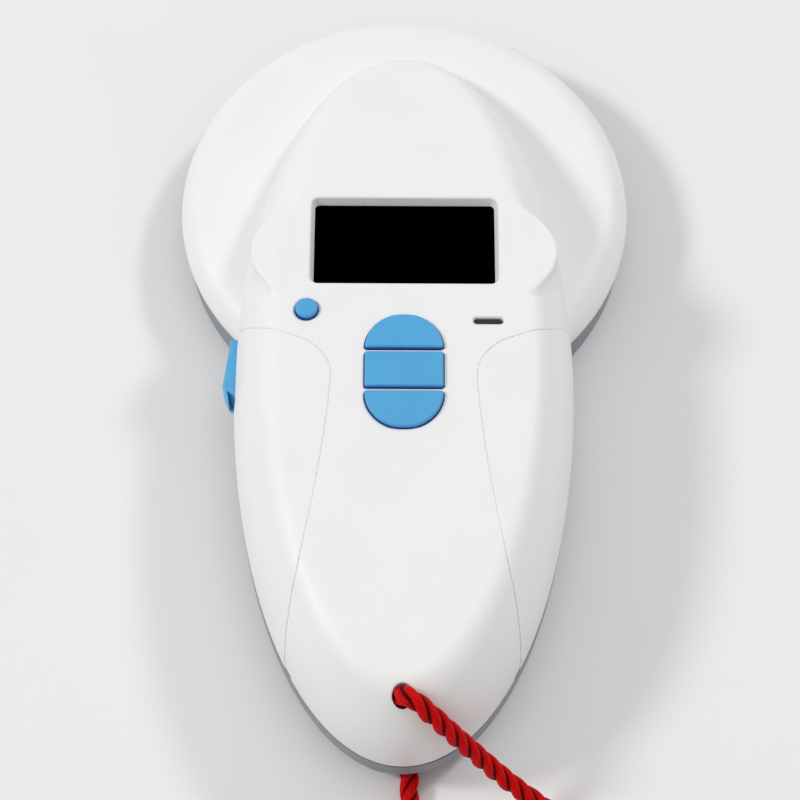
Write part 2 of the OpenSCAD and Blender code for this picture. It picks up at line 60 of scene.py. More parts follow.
# The case: an oval handle over a round head, with a thin seal between the upper and lower shells
case_low, case_high = box_mm("top_cover")
upper_z = case_low[2]
SEAL_T = 0.4
lower_z = upper_z - SEAL_T
crown_z = case_high[2]
head_r = case_high[0]
head_y = case_high[1] - head_r
OVAL_A = 79.0
OVAL_B = 34.4
oval_y = case_low[1] + OVAL_A
dome_tip_y = oval_y + OVAL_A
WALL = 2.4
SHOULDER_Z = 14.0
SIDE_ROUND = 10.5
TIP_ROUND_LESS = 5.0
HEAD_TOP = 16.5
RIM_W = 7.0
RIM_H = 6.0
TUB_IN = 0.3
TUB_DRAFT = 0.055
TUB_ROUND = 1.4
BELLY_ROUND = 4.0
BELLY_SHOULDER_Z = 6.0
BELLY_RISE = 2.5
DOME_Y = 28.0
DOME_DROP = 12.5
DOME_FILLET = 0.5
TAIL_Y = -24.0
TAIL_DROP = 1.2
PARTING_EDGE = 0.25

# Step along the white shell's lower edge, above the seal
STEP_H = 0.35
STEP_DEPTH = 0.35

# The pod round the display, and the window in it
POD_A = 30.7
POD_B = 16.4
POD_Y = 14.1
POD_DRAFT = 0.06
POD_EDGE = 0.7
POD_FILLET = 1.6
POD_FLOOR_Z = 20.0
pane_low, pane_high = box_mm("display_window")
PANE_GLUE = 0.1
ceiling_z = pane_high[2] + PANE_GLUE
window_y = (pane_low[1] + pane_high[1]) / 2
PANE_LIP = 0.9
window_l = pane_high[0] - pane_low[0] - 2 * PANE_LIP
window_w = pane_high[1] - pane_low[1] - 2 * PANE_LIP
WINDOW_FLARE = 0.9
WINDOW_EDGE = 0.5

# Keys, power button and indicator light. Their openings start at OPENING_Z, and two have a chamfer
KEY_R = 7.7
KEY_GAP = 0.15
KEY_FLANGE = 0.9
UP_KEY_BACK = -8.5
DOWN_KEY_FRONT = -17.9
key_top_z = box_mm("up_key")[1][2]
key_bottom_z = box_mm("up_key")[0][2]
ok_low, ok_high = box_mm("ok_key")
keys_front_y = box_mm("up_key")[1][1] - KEY_FLANGE
keys_back_y = box_mm("down_key")[0][1] + KEY_FLANGE
OPENING_Z = 25.0
CHAMFER = 0.35
POWER_BACK = 0.35
POWER_LESS = 0.3
power_low, power_high = box_mm("power_button")
power_xy = (power_low[:2] + power_high[:2]) / 2 - (0, POWER_BACK)
power_r = (power_high[0] - power_low[0]) / 2 - KEY_FLANGE - POWER_LESS
lens_low, lens_high = box_mm("indicator_lens")
lens_xy = (lens_low[:2] + lens_high[:2]) / 2
SLOT_L = 5.9
SLOT_W = 1.4

# Side grips, and the groove between a grip and the top shell. The grip laps a little into the shell
GRIP_T = 1.0
SEAM_EDGE = 0.05
SEAM_LAP = 0.03
SEAM_DEPTH = 0.1
SEAM_HALF_W = 0.32
SEAM_PAST = 0.05

# The seam seen from above, and the small notch where it meets the parting line
GRIP_CORNER = (14.3, -13.0)
GRIP_CORNER_R = 5.5
GRIP_END = (22.6, -66.6)
GRIP_TOP = [(14.3, -8.1), (16.0, -7.6), (19.6, -6.3), (23.0, -4.9), (26.8, -3.5), (30.4, -1.4), (33.6, 2.6)]
grip_top_line = np.polyfit([p[0] for p in GRIP_TOP], [p[1] for p in GRIP_TOP], 4)
NOTCH_FRONT = 0.4
NOTCH_BACK = 1.5
NOTCH_H = 1.7

# The trigger's slot, the lugs that hold its pin, and the bevel beside it
TRIGGER_GAP = 0.2
trigger_low, trigger_high = box_mm("trigger_lever")
trigger_slot_y = (-13.4, 1.9)
pin_low, pin_high = box_mm("trigger_pin")
LUG_SPANS = ((pin_low[2], trigger_low[2] - TRIGGER_GAP), (trigger_high[2] + TRIGGER_GAP, pin_high[2]))
BEVEL_TOP = (-32.0, 26.4)
BEVEL_FOOT = (-33.95, trigger_high[2] + TRIGGER_GAP)

# The hole for the cord. Its mouth in the top shell is a little smaller and nearer the tail
HOLE_Y = -78.7
HOLE_R = 2.05
MOUTH_Y = -79.1
MOUTH_R = 1.95
HOLE_BOSS_R = 3.9
GROOVE_W = 6.5
GROOVE_TOP = 5.5

# Battery door: its plate slides on tongues, which run in rails along the bay
DOOR_TRAVEL = 6.0
DOOR_GAP = 0.2
BAY_TOP = 8.0
TONGUE_YS = (-17.0, -34.0, -51.0)
TONGUE_L = 8.0
TONGUE_REACH = 1.4
TONGUE_Z = (1.1, 2.1)
RAIL_REACH = 1.6
RAIL_Z = (1, 2.3)

# Screws that close the case, and posts that hold the board
CASE_SCREWS = [(-20.0, 60.0), (20.0, 60.0), (-22.0, -46.0), (22.0, -46.0)]
SCREW_BOSS_R = 3.4
SCREW_HEAD_R = 2.7
SCREW_HEAD_TOP = 2.6
SCREW_R = 1.45
THREAD_BOSS_R = 3.0
THREAD_R = 1.25
THREAD_TOP = 13.0
BOARD_POSTS = [(-23.0, 22.0), (23.0, 22.0), (-16.0, -41.0), (16.0, -41.0)]
POST_R = 2.0
POST_HOLE_R = 0.8
board_top = box_mm("main_board")[1][2]

# Lanyard
CORD_D = 3.8
LAY_LENGTH = 13.0

# ---------------------------------------------------------------- camera


def make_camera():
    """Looks steeply down along the object, from over its tail."""
    data = bpy.data.cameras.new("camera")
    data.lens = 104.5
    data.sensor_width = 36.0
    data.clip_start = 0.01
    camera = bpy.data.objects.new("camera", data)
    bpy.context.scene.collection.objects.link(camera)
    elevation = math.radians(62.65)
    tilt = Matrix.Rotation(math.pi / 2 - elevation, 4, "X")
    roll = Matrix.Rotation(math.radians(0.27), 4, "Z")
    place = Matrix.Translation(Vector((-0.76, -226.05, 432.9)) * MM)
    camera.matrix_world = place @ tilt @ roll
    bpy.context.scene.camera = camera


make_camera()

# ---------------------------------------------------------------- meshes


def link(obj):
    bpy.context.scene.collection.objects.link(obj)
    return obj


def mesh_object(name, points, faces):
    """A mesh object from points in millimetres."""
    mesh = bpy.data.meshes.new(name)
    mesh.from_pydata(np.asarray(points, float) * MM, [], faces)
    mesh.validate()
    mesh.polygons.foreach_set("use_smooth", [True] * len(mesh.polygons))
    mesh.update()
    return link(bpy.data.objects.new(name, mesh))


def finish_piece(obj, body, slot_name, material, *nodes):
    """Gives a piece its material and body, and hides the CAD nodes that it stands for. slot_name is not used.
    """
    obj.data.materials.clear()
    obj.data.materials.append(material)
    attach(obj, body)
    if nodes:
        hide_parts(*nodes)
    return obj


# ---------------------------------------------------------------- the cord, first

CORD_ROUTE = [
    (0, -78.7, 24), (0, -78.7, 28.5), (0.1, -79.1, 31.3), (0.7, -79.8, 33.1), (1.7, -80.5, 33.6),
    (3.1, -81.4, 32.9), (4.6, -82.3, 31.4), (6.1, -82.9, 29.6), (9.1, -84.3, 25.6), (12.2, -85.4, 21),
    (15.3, -86.6, 16.6), (18.4, -87.9, 12.6), (22.3, -89.6, 8.6), (26.4, -91.5, 5.6), (31.5, -94.5, 3.2),
    (38, -99, 2.1), (45.5, -106, 2), (53, -117, 2), (57.5, -131, 2), (58, -147, 2),
    (54, -160, 2), (46, -171, 2.4), (36, -179, 4), (25, -183, 5.8), (15, -184, 5.8), (5, -183, 5.8),
    (-6, -179, 4), (-15, -172, 2.4), (-21, -162, 2), (-23, -150, 2), (-21, -138, 2), (-15, -126, 2),
    (-8, -115, 2), (-2, -105, 2), (1, -96, 2), (1.4, -89, 2), (1.2, -84, 2.5),
    (0.6, -80.6, 4.6), (0, -78.7, 9),
]


def smooth_line(points, steps):
    """A Catmull-Rom curve through the points, with that many steps between two of them."""
    p = np.array(points, float)
    n = len(p) - 1
    line = []
    for i in range(n):
        a, b, c, d = p[max(i - 1, 0)], p[i], p[i + 1], p[min(i + 2, n)]
        for k in range(steps):
            t = k / steps
            line.append(
                0.5 * (2 * b + (c - a) * t + (2 * a - 5 * b + 4 * c - d) * t * t
                       + (3 * b - a - 3 * c + d) * t ** 3)
            )
    line.append(p[-1])
    return np.array(line)


def evenly(line, step):
    """The line again, with points about step apart."""
    along = np.concatenate([[0], np.cumsum(np.linalg.norm(np.diff(line, axis=0), axis=1))])
    at = np.linspace(0, along[-1], int(math.ceil(along[-1] / step)) + 1)
    return np.stack([np.interp(at, along, line[:, k]) for k in range(3)], axis=1), at


def carried_frames(line):
    """Two directions across the line at each point, carried along it without twisting."""
    ahead = np.gradient(line, axis=0)
    ahead /= np.linalg.norm(ahead, axis=1)[:, None]
    side = np.cross(ahead[0], (0.0, 0.3, 1.0))
    sides = []
    for t in ahead:
        side = side - t * (side @ t)
        side = side / np.linalg.norm(side)
        sides.append(side)
    sides = np.array(sides)
    return sides, np.cross(ahead, sides)


def tube(line, radius, sides, first):
    """Points and faces of a closed tube along a line; its faces count from first."""
    across, up = carried_frames(line)
    angles = np.arange(sides) * 2 * math.pi / sides
    ring = np.cos(angles)[None, :, None] * across[:, None] + np.sin(angles)[None, :, None] * up[:, None]
    points = (line[:, None] + ring * radius).reshape(-1, 3)
    faces = []
    for r in range(len(line) - 1):
        for i in range(sides):
            j = (i + 1) % sides
            a, b = first + r * sides, first + (r + 1) * sides
            faces.append((a + i, a + j, b + j, b + i))
    last = first + (len(line) - 1) * sides
    faces.append(tuple(first + i for i in reversed(range(sides))))
    faces.append(tuple(last + i for i in range(sides)))
    return points, faces


def twisted_rope(name, line, step=0.45, sides=12):
    """Three strands laid round each other along a line."""
    line, along = evenly(line, step)
    across, up = carried_frames(line)
    strand_r = 1.14 * CORD_D / 2 / (1 + 2 / math.sqrt(3))
    lay_r = CORD_D / 2 - strand_r
    points, faces, depths = [], [], []
    first = 0
    for k in range(3):
        turn = 2 * math.pi * (along / LAY_LENGTH + k / 3)
        strand = line + lay_r * (np.cos(turn)[:, None] * across + np.sin(turn)[:, None] * up)
        strand_points, strand_faces = tube(strand, strand_r, sides, first)
        # How far each point lies from the cord's middle, kept for the painted shade between the strands.
        reach = np.linalg.norm(strand_points.reshape(-1, sides, 3) - line[:, None], axis=2)
        depths.append(reach.ravel() / (CORD_D / 2))
        points.append(strand_points)
        faces += strand_faces
        first += len(strand_points)
    obj = mesh_object(name, np.concatenate(points), faces)
    rope_uv(obj, len(line), sides, along)
    depth = obj.data.attributes.new("depth", "FLOAT", "POINT")
    depth.data.foreach_set("value", np.concatenate(depths))
    return obj, line


def rope_uv(obj, rings, sides, along):
    """Millimetres along each strand and turns round it, for the yarn pattern."""
    uv = obj.data.uv_layers.new(name="strand")
    index = np.zeros(len(obj.data.loops), np.int64)
    obj.data.loops.foreach_get("vertex_index", index)
    around = index % sides
    ring = (index // sides) % rings
    starts = np.zeros(len(obj.data.polygons), np.int64)
    sizes = np.zeros(len(obj.data.polygons), np.int64)
    obj.data.polygons.foreach_get("loop_start", starts)
    obj.data.polygons.foreach_get("loop_total", sizes)
    u = around.astype(float)
    for start in starts[sizes == 4]:
        corner = around[start:start + 4]
        if corner.max() - corner.min() > 1:
            u[start:start + 4][corner == 0] = sides
    uv.data.foreach_set("uv", np.stack([u / sides, along[ring]], axis=1).ravel())


# ---------------------------------------------------------------- materials


class Nodes:
    """A short way to build a material's nodes."""

    def __init__(self, name):
        self.material = bpy.data.materials.new(name)
        self.material.use_nodes = True
        self.tree = self.material.node_tree
        self.shader = self.tree.nodes["Principled BSDF"]

    def add(self, kind, settings=None, **inputs):
        node = self.tree.nodes.new(kind)
        for key, value in (settings or {}).items():
            setattr(node, key, value)
        for key, value in inputs.items():
            self.put(node, key.replace("_", " "), value)
        return node

    def put(self, node, key, value):
        socket = node.inputs[int(key[1:])] if key[0] == "i" and key[1:].isdigit() else node.inputs[key]
        if isinstance(value, bpy.types.NodeSocket):
            self.tree.links.new(value, socket)
        else:
            socket.default_value = value

    def math(self, operation, a, b):
        return self.add("ShaderNodeMath", {"operation": operation}, i0=a, i1=b).outputs[0]

    def noise(self, place, size, detail=2.0, roughness=0.5):
        """Noise whose features are about size millimetres wide."""
        node = self.add("ShaderNodeTexNoise", Vector=place, Scale=1 / (size * MM), Detail=detail,
                        Roughness=roughness)
        return node.outputs["Fac"]

    def ramp(self, value, low, high, first, last):
        """value from first to last, as a value from low to high."""
        return self.add("ShaderNodeMapRange", i0=value, i1=first, i2=last, i3=low, i4=high).outputs[0]

    def mix(self, share, a, b):
        node = self.add("ShaderNodeMix", {"data_type": "RGBA"})
        self.put(node, "i0", share)
        for index, colour in ((6, a), (7, b)):
            if isinstance(colour, bpy.types.NodeSocket):
                self.tree.links.new(colour, node.inputs[index])
            else:
                node.inputs[index].default_value = (*colour, 1)
        return node.outputs[2]

    def bump(self, height, distance, strength=1.0, normal=None):
        node = self.add("ShaderNodeBump", Height=height, Distance=distance * MM, Strength=strength)
        if normal is not None:
            self.put(node, "Normal", normal)
        return node.outputs[0]


def linear(red, green, blue):
    """A display colour, 0 to 255, as linear light."""
    return tuple(
        c / 255 / 12.92 if c / 255 <= 0.04045 else ((c / 255 + 0.055) / 1.055) ** 2.4
        for c in (red, green, blue)
    )


def moulded(name, colour, roughness, grain=0.35, grain_height=0.006, shade=0.97, specular=0.5, metallic=0.0,
            coat=0.0, subsurface=0.0, depth=1.0, foot=None):
    """Moulded plastic or rubber: a fine spark-eroded grain, faint mottling and a slightly uneven gloss.
    foot is a darker colour painted in below a height, as shade at the foot of a wall, and the two heights
    between which it fades in."""
    n = Nodes(name)
    place = n.add("ShaderNodeTexCoord").outputs["Object"]
    cloud = n.noise(place, 14, 3)
    speck = n.noise(place, 0.8, 2)
    darker = tuple(c * shade for c in colour)
    tone = n.mix(n.ramp(cloud, 0, 1, 0.35, 0.65), darker, colour)
    tone = n.mix(n.ramp(speck, 0, 0.25, 0.45, 0.75), tone, darker)
    # Painted shade: below foot_low the colour is the darker one, standing in for shade at the foot of a wall
    # or in a gap.
    if foot:
        painted_shade_colour, foot_low, foot_high = foot
        height = n.add("ShaderNodeSeparateXYZ", Vector=place).outputs[2]
        tone = n.mix(n.ramp(height, 0, 1, foot_low * MM, foot_high * MM), painted_shade_colour, tone)
    n.put(n.shader, "Base Color", tone)
    fine = n.noise(place, grain, 3, 0.6)
    gloss = n.math("ADD", n.ramp(cloud, -0.03, 0.03, 0.3, 0.7), n.ramp(fine, -0.04, 0.04, 0.3, 0.7))
    n.put(n.shader, "Roughness", n.math("ADD", gloss, roughness))
    n.put(n.shader, "Normal", n.bump(fine, grain_height))
    n.put(n.shader, "Specular IOR Level", specular)
    n.put(n.shader, "Metallic", metallic)
    if coat:
        n.put(n.shader, "Coat Weight", coat)
        n.put(n.shader, "Coat Roughness", 0.2)
    if subsurface:
        n.put(n.shader, "Subsurface Weight", subsurface)
        n.put(n.shader, "Subsurface Radius", (1.0, 0.9, 0.8))
        n.put(n.shader, "Subsurface Scale", depth * MM)
    return n.material


def red_yarn():
    """Dyed polyester strands: fine yarns that run along each strand, painted darker where the strands sink
    between one another and in the troughs between yarns, as painted shade.
    """
    n = Nodes("red_yarn")
    uv = n.add("ShaderNodeTexCoord").outputs["UV"]
    parts = n.add("ShaderNodeSeparateXYZ", Vector=uv)
    turns, along = parts.outputs[0], parts.outputs[1]
    slant = n.math("ADD", n.math("MULTIPLY", turns, 10.0), n.math("MULTIPLY", along, 0.55))
    wave = n.math("SINE", n.math("MULTIPLY", slant, 2 * math.pi), 0.0)
    place = n.add("ShaderNodeTexCoord").outputs["Object"]
    fuzz = n.noise(place, 0.5, 4, 0.7)
    height = n.math("ADD", n.ramp(wave, 0, 1, -1, 1), n.math("MULTIPLY", fuzz, 0.8))
    # The yarns' troughs are painted darker, as painted shade, and the noise streaks them at random.
    tone = n.mix(n.ramp(height, 0, 1, 0.3, 1.5), linear(186, 0, 1), linear(220, 1, 3))
    # Painted shade: darker where the strands sink towards the cord's middle.
    depth = n.add("ShaderNodeAttribute", {"attribute_name": "depth"}).outputs["Fac"]
    tone = n.mix(n.ramp(depth, 0, 1, 0.72, 0.9), linear(88, 0, 1), tone)
    n.put(n.shader, "Base Color", tone)
    n.put(n.shader, "Roughness", n.ramp(fuzz, 0.5, 0.7, 0.2, 0.8))
    n.put(n.shader, "Specular IOR Level", 0.1)
    n.put(n.shader, "Normal", n.bump(height, 0.07))
    return n.material


def make_materials():
    return {
        # The white shell is painted dark navy just above its lower edge, as painted shade in the gap between
        # the shells.
        "shell_white": moulded("shell_white", linear(239, 239, 238), 0.46, shade=0.985, specular=0.42,
                               subsurface=0.08, depth=1.2,
                               foot=(linear(40, 46, 84), upper_z + 0.42, upper_z + 0.52)),
        "shell_grey": moulded("shell_grey", linear(141, 147, 153), 0.5, grain=0.5, grain_height=0.01,
                              shade=0.93),
        # The seal's very dark navy is partly its own colour and partly painted shade, for the shadow in the
        # gap between the shells.
        "seal_rubber": moulded("seal_rubber", linear(18, 22, 52), 0.8, grain=0.3, shade=0.8),
        "window_black": moulded("window_black", (0.0002, 0.0002, 0.0002), 0.3, grain=4, grain_height=0.001,
                                shade=0.7, specular=0.0),
        "foam_black": moulded("foam_black", linear(38, 38, 42), 0.95, grain=0.4, grain_height=0.08,
                              shade=0.7),
        "display_glass": moulded("display_glass", linear(24, 26, 30), 0.12, grain=3, grain_height=0.001,
                                 coat=0.6),
        "flex_amber": moulded("flex_amber", linear(181, 101, 29), 0.35, grain=0.6, shade=0.8, coat=0.3),
        # The trigger's blue is painted lighter than the key caps', as painted light against the shade that
        # the trigger sits in.
        "key_blue": moulded("key_blue", linear(90, 176, 226), 0.46, grain=0.3, grain_height=0.008, shade=0.96,
                            specular=0.4, subsurface=0.15, depth=0.8),
        # The key caps and power button are painted a deeper blue down their sides, as painted shade on the
        # side walls.
        "key_cap_blue": moulded("key_cap_blue", linear(78, 167, 219), 0.46, grain=0.3, grain_height=0.008,
                                shade=0.96, specular=0.4,
                                foot=(linear(8, 88, 184), key_top_z - 0.75, key_top_z - 0.3)),
        "mat_silicone": moulded("mat_silicone", linear(127, 184, 218), 0.6, shade=0.9, subsurface=0.3),
        "lens_smoke": moulded("lens_smoke", linear(34, 22, 34), 0.2, grain=2, grain_height=0.002, coat=0.4),
        "led_amber": moulded("led_amber", linear(232, 228, 208), 0.3, grain=0.4, shade=0.9),
        "board_green": moulded("board_green", linear(24, 92, 48), 0.35, grain=1.2, grain_height=0.01,
                               shade=0.6, coat=0.4),
        "chip_black": moulded("chip_black", linear(32, 33, 36), 0.55, grain=0.25, shade=0.8),
        "former_ivory": moulded("former_ivory", linear(217, 214, 200), 0.5, shade=0.9),
        "copper_wire": moulded("copper_wire", linear(190, 108, 60), 0.3, grain=0.3, grain_height=0.05,
                               shade=0.6, metallic=0.9),
        "cell_sleeve": moulded("cell_sleeve", linear(63, 127, 74), 0.3, shade=0.9, coat=0.5),
        "tray_dark": moulded("tray_dark", linear(58, 60, 64), 0.55, shade=0.85),
        "steel": moulded("steel", linear(176, 180, 186), 0.32, grain=0.2, grain_height=0.004, shade=0.8,
                         metallic=1.0),
        "cord_red": red_yarn(),
    }


materials = make_materials()

# ---------------------------------------------------------------- lanyard


def make_knot():
    """A double fisherman's knot: each end takes two turns round the other part, and stands out a little."""
    low, high = box_mm("lanyard_knot")
    centre = (low + high) / 2
    coil_r = CORD_D - 0.15
    turns = 2.1
    steps = 56
    height = centre[2] + 0.3
    reach = high[0] - centre[0] - CORD_D / 2 - 0.6
    pieces = []
    for side in (-1, 1):
        start = centre[0] + side * 0.4
        coil = []
        for i in range(steps + 1):
            t = i / steps
            angle = 2 * math.pi * turns * t + (0.6 if side > 0 else 3.5)
            x = start + side * (CORD_D / 2 + (reach - CORD_D / 2) * t)
            coil.append((x, centre[1] + coil_r * math.cos(angle), height + coil_r * math.sin(angle)))
        end = np.array(coil[-1])
        outward = np.array([side * 1.0, 0.0, 0.0])
        tail = [end + outward * 2.6 + (0, 0, 0.2), end + outward * 6.0 + (0, 0, 0.1)]
        pieces.append(np.array(coil + tail))
    return pieces


cord_line = smooth_line(CORD_ROUTE, 8)
lanyard, cord_path = twisted_rope("lanyard", cord_line)
knot_ends = []
for number, line in enumerate(make_knot()):
    knot_end, _ = twisted_rope(f"lanyard_knot_{number + 1}", smooth_line(line, 4))
    knot_ends.append(knot_end)
finish_piece(lanyard, "case", "cord_red", materials["cord_red"], "lanyard_cord")
finish_piece(knot_ends[0], "case", "cord_red", materials["cord_red"], "lanyard_knot")
finish_piece(knot_ends[1], "case", "cord_red", materials["cord_red"], "lanyard_knot")

# ---------------------------------------------------------------- surfaces by formula
# A field is negative inside a solid and close to the distance from its surface, in millimetres.


def clamp01(v):
    return np.clip(v, 0.0, 1.0)


def ease(first, last, v):
    t = clamp01((v - first) / (last - first))
    return t * t * (3 - 2 * t)


def join(a, b, fillet=0.0):
    """Both solids as one, with a concave fillet where they meet."""
    return np.maximum(np.minimum(a, b), fillet) - np.hypot(
        np.minimum(a - fillet, 0), np.minimum(b - fillet, 0))


def meet(a, b, edge=0.0):
    """What both solids share, with a rounded edge."""
    return np.minimum(np.maximum(a, b), -edge) + np.hypot(
        np.maximum(a + edge, 0), np.maximum(b + edge, 0))


def cut(a, b, edge=0.0):
    return meet(a, -b, edge)


def block(x, y, z, low, high):
    """A box from its lowest to its highest corner."""
    f = np.maximum(low[0] - x, x - high[0])
    f = np.maximum(f, np.maximum(low[1] - y, y - high[1]))
    return np.maximum(f, np.maximum(low[2] - z, z - high[2]))


def rounded_rect(x, y, length, width, radius):
    dx = np.abs(x) - length / 2 + radius
    dy = np.abs(y) - width / 2 + radius
    return np.hypot(np.maximum(dx, 0), np.maximum(dy, 0)) + np.minimum(np.maximum(dx, dy), 0) - radius


def ellipse(x, y, a, b):
    """Distance from an ellipse with half axes a along X and b along Y, and the Y of its nearest point."""
    px, py = np.abs(x), np.abs(y)
    tx = ty = math.sqrt(0.5)
    for _ in range(4):
        ex = (a * a - b * b) * tx ** 3 / a
        ey = (b * b - a * a) * ty ** 3 / b
        rx, ry = a * tx - ex, b * ty - ey
        qx, qy = px - ex, py - ey
        r = np.hypot(rx, ry)
        q = np.maximum(np.hypot(qx, qy), 1e-9)
        tx = clamp01((qx * r / q + ex) / a)
        ty = clamp01((qy * r / q + ey) / b)
        t = np.maximum(np.hypot(tx, ty), 1e-9)
        tx, ty = tx / t, ty / t
    away = np.hypot(px - a * tx, py - b * ty)
    inside = (px / a) ** 2 + (py / b) ** 2 < 1
    return np.where(inside, -away, away), b * ty * np.sign(y)


def turned_side(d, width, above, rise):
    """A body whose side wall turns over into its top along a quarter ellipse. d is the distance outside its
    plan, and above is the height above the shoulder where the turn starts."""
    u = np.maximum(1 + d / width, 0)
    v = np.maximum(above, 0) / rise
    q = np.hypot(u, v)
    slope = np.hypot(u / width, v / rise) / np.maximum(q, 1e-6)
    return (q - 1) / np.maximum(slope, 1 / np.maximum(width, rise))


def crown(y):
    """Height of the handle's top along its length."""
    dome = clamp01((y - DOME_Y) / (dome_tip_y - DOME_Y)) ** 1.25
    tail = clamp01((TAIL_Y - y) / (TAIL_Y - case_low[1])) ** 2
    return crown_z - DOME_DROP * dome - TAIL_DROP * tail


def round_width(y):
    return SIDE_ROUND - TIP_ROUND_LESS * ease(30, 74, y)


def belly(y):
    return BELLY_RISE * ease(-58, -82, y)


def oval_plan(x, y):
    d, edge_y = ellipse(x, y - oval_y, OVAL_B, OVAL_A)
    return d, edge_y + oval_y


def oval_upper(x, y, z):
    d, edge_y = oval_plan(x, y)
    return turned_side(d, round_width(edge_y), z - SHOULDER_Z, crown(y) - SHOULDER_Z)


def grip_plan(x, y):
    """Plan of both side grips. The inner seam bows outwards to the tail."""
    x = np.abs(x)
    t = clamp01((GRIP_CORNER[1] - y) / (GRIP_CORNER[1] - GRIP_END[1]))
    inner = GRIP_CORNER[0] + (GRIP_END[0] - GRIP_CORNER[0]) * t ** 1.5 - x
    reach = np.clip(x, GRIP_TOP[0][0], OVAL_B)
    slope = np.polyval(np.polyder(grip_top_line), reach)
    upper = (y - np.polyval(grip_top_line, reach)) / np.hypot(1, slope)
    return meet(meet(inner, upper, GRIP_CORNER_R), GRIP_END[1] - y, 0.3)


def seam_slope(oval, away):
    """What a shallow slope along a seam cuts off a piece. away is the distance from the seam into it."""
    fall = SEAM_DEPTH / SEAM_HALF_W
    slope = (oval + SEAM_DEPTH - away * fall) / math.hypot(1, fall)
    return np.minimum(slope, np.minimum(SEAM_HALF_W + SEAM_PAST - away, oval + 2.5 * SEAM_DEPTH))


def trigger_slot(x, y, z):
    y_mid, y_half = sum(trigger_slot_y) / 2, (trigger_slot_y[1] - trigger_slot_y[0]) / 2
    z_mid = (trigger_low[2] + trigger_high[2]) / 2
    z_half = (trigger_high[2] - trigger_low[2]) / 2 + TRIGGER_GAP
    opening = meet(np.abs(y - y_mid) - y_half, np.abs(z - z_mid) - z_half, 0.5)
    return np.maximum(opening, x + 27)


def key_plan(x, y, low_y, high_y, grow, corner=0.5):
    """Outline of one key, cut from the round-ended cluster."""
    near = np.clip(y, keys_back_y + KEY_R, keys_front_y - KEY_R)
    cluster = np.hypot(x, y - near) - KEY_R
    span = np.abs(y - (low_y + high_y) / 2) - (high_y - low_y) / 2
    return meet(cluster, span, corner) - grow


KEY_SPANS = {
    "up_key": (UP_KEY_BACK, keys_front_y),
    "ok_key": (ok_low[1], ok_high[1]),
    "down_key": (keys_back_y, DOWN_KEY_FRONT),
}


def key_solid(x, y, z, low_y, high_y):
    plan = key_plan(x, y, low_y, high_y, 0.0)
    cap = meet(plan, z - key_top_z, 0.6)
    low = low_y - KEY_FLANGE * (low_y == keys_back_y)
    high = high_y + KEY_FLANGE * (high_y == keys_front_y)
    near = np.clip(y, keys_back_y + KEY_R, keys_front_y - KEY_R)
    flange = np.maximum(np.hypot(x, y - near) - KEY_R - KEY_FLANGE, np.maximum(low - y, y - high))
    flange = meet(flange, z - key_bottom_z - KEY_FLANGE, 0.15)
    return meet(join(cap, flange, 0.1), key_bottom_z - z, 0.1)


def post(x, y, xy, radius):
    return np.hypot(x - xy[0], y - xy[1]) - radius


def parting_step(surface, z):
    """What the step along the white shell's lower edge cuts off, above the seal."""
    return np.minimum(upper_z + STEP_H - z, surface + STEP_DEPTH)


